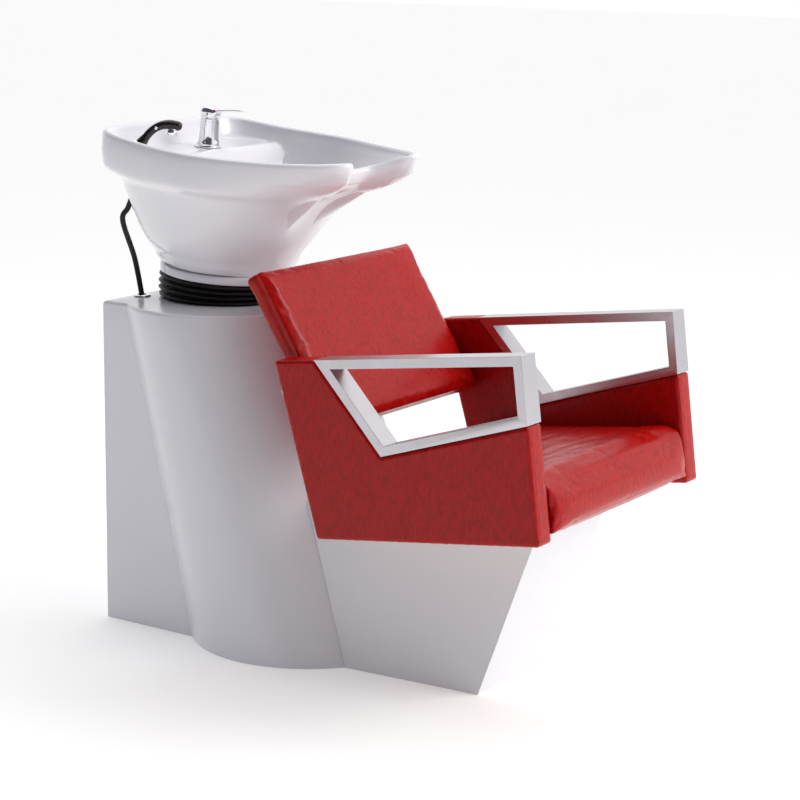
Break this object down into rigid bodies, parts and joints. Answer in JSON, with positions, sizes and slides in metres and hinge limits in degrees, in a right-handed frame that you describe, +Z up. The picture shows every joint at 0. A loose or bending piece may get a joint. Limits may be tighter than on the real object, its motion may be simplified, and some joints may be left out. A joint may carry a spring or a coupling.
{
  "type": "shampoo backwash unit",
  "caption": "Salon wash unit: reclined red armchair on a white plinth, joined to a pedestal with a tilting wash bowl, mixer tap and pull-out hand spray.",
  "frame": {"origin": "on the floor, at the middle of the underside of the steel base plate that carries both posts", "axes": "+Z up, -Y towards the front of the chair, +Y towards the rear of the pedestal, X across the unit with the sitter's left at +X"},
  "size_m": [0.61, 1.1004, 1.0399],
  "materials": {
    "white_ceramic": "glossy white gelcoat shell of the bowl",
    "white_gelcoat": "white semi-gloss gelcoat",
    "red_vinyl": "bright red embossed vinyl upholstery, semi-gloss",
    "satin_steel": "satin silver metal",
    "chrome": "bright chrome",
    "black_rubber": "black flexible rubber",
    "black_plastic": "glossy near-black plastic",
    "painted_steel": "dark grey painted steel",
    "zinc_steel": "zinc plated steel",
    "brass": "plain brass",
    "plywood": "raw birch plywood",
    "white_plastic": "white matte plastic",
    "red_mark": "red plastic handle",
    "blue_mark": "blue plastic handle"
  },
  "bodies": {
    "root": {"backrest_cushion": "red_vinyl", "base_plate": "painted_steel", "bellows": "black_rubber", "bellows_ring": "zinc_steel", "bottle_trap": "white_plastic", "bowl_post": "painted_steel", "cold_stop_valve": "brass", "cold_supply_hose": "satin_steel", "door_pin_lower": "zinc_steel", "door_pin_upper": "zinc_steel", "frame_leaf_lower": "zinc_steel", "frame_leaf_upper": "zinc_steel", "hose_grommet": "chrome", "hot_stop_valve": "brass", "hot_supply_hose": "satin_steel", "left_arm_frame": "satin_steel", "left_back_bracket": "zinc_steel", "left_side_panel": "red_vinyl", "outlet_union": "brass", "pedestal_shell": "white_gelcoat", "plinth_shell": "white_gelcoat", "right_arm_frame": "satin_steel", "right_back_bracket": "zinc_steel", "right_side_panel": "red_vinyl", "seat_board": "plywood", "seat_bolt_1": "zinc_steel", "seat_bolt_2": "zinc_steel", "seat_bolt_3": "zinc_steel", "seat_bolt_4": "zinc_steel", "seat_cushion": "red_vinyl", "seat_frame_plate": "painted_steel", "seat_post": "painted_steel", "spray_hose": "black_rubber", "tilt_pin": "zinc_steel", "tilt_yoke": "painted_steel", "valve_bracket": "zinc_steel", "waste_hose": "black_rubber", "waste_outlet": "white_plastic"},
    "bowl": {"bowl": "white_ceramic", "bowl_collar": "white_gelcoat", "tilt_bracket": "painted_steel", "waste_flange": "chrome", "waste_tail": "white_plastic", "mixer_base_ring": "chrome", "mixer_body": "chrome", "mixer_nut": "brass", "spray_holder": "chrome"},
    "strainer": {"hair_strainer": "chrome"},
    "mixer_turret": {"mixer_turret": "chrome"},
    "mixer_handle": {"mixer_handle": "chrome"},
    "hand_spray": {"spray_handle": "black_plastic", "spray_nozzle": "chrome", "spray_ferrule": "chrome"},
    "door": {"access_door": "white_gelcoat", "door_leaf_lower": "zinc_steel", "door_leaf_upper": "zinc_steel", "door_knob": "satin_steel"},
    "hot_handle": {"hot_valve_handle": "red_mark"},
    "cold_handle": {"cold_valve_handle": "blue_mark"}
  },
  "joints": [
    {"name": "bowl_tilt", "type": "hinge", "parent": "root", "child": "bowl", "pos_m": [0, 0.282, 0.69], "axis": [1, 0, 0], "range_deg": [-10, 4], "deforming": ["bellows", "spray_hose", "hot_supply_hose", "cold_supply_hose", "waste_hose"]},
    {"name": "strainer_lift", "type": "slide", "parent": "bowl", "child": "strainer", "axis": [0, -0.0732, 0.9973], "range_m": [0, 0.05]},
    {"name": "mixer_swivel", "type": "hinge", "parent": "bowl", "child": "mixer_turret", "pos_m": [0.02, 0.34541, 1.01442], "axis": [0, -0.0732, 0.9973], "range_deg": [-45, 45]},
    {"name": "mixer_lift", "type": "hinge", "parent": "mixer_turret", "child": "mixer_handle", "pos_m": [0.02, 0.36257, 1.01969], "axis": [-1, 0, 0], "range_deg": [0, 22]},
    {"name": "spray_pull", "type": "slide", "parent": "bowl", "child": "hand_spray", "axis": [0.3443, -0.5002, 0.7945], "range_m": [0, 0.1]},
    {"name": "door_swing", "type": "hinge", "parent": "root", "child": "door", "pos_m": [0.131, 0.4468, 0.33], "axis": [0, 0, -1], "range_deg": [0, 100]},
    {"name": "hot_valve_turn", "type": "hinge", "parent": "root", "child": "hot_handle", "pos_m": [-0.055, 0.3399, 0.36], "axis": [0, 1, 0], "range_deg": [0, 90]},
    {"name": "cold_valve_turn", "type": "hinge", "parent": "root", "child": "cold_handle", "pos_m": [0.055, 0.3399, 0.36], "axis": [0, 1, 0], "range_deg": [0, 90]}
  ]
}
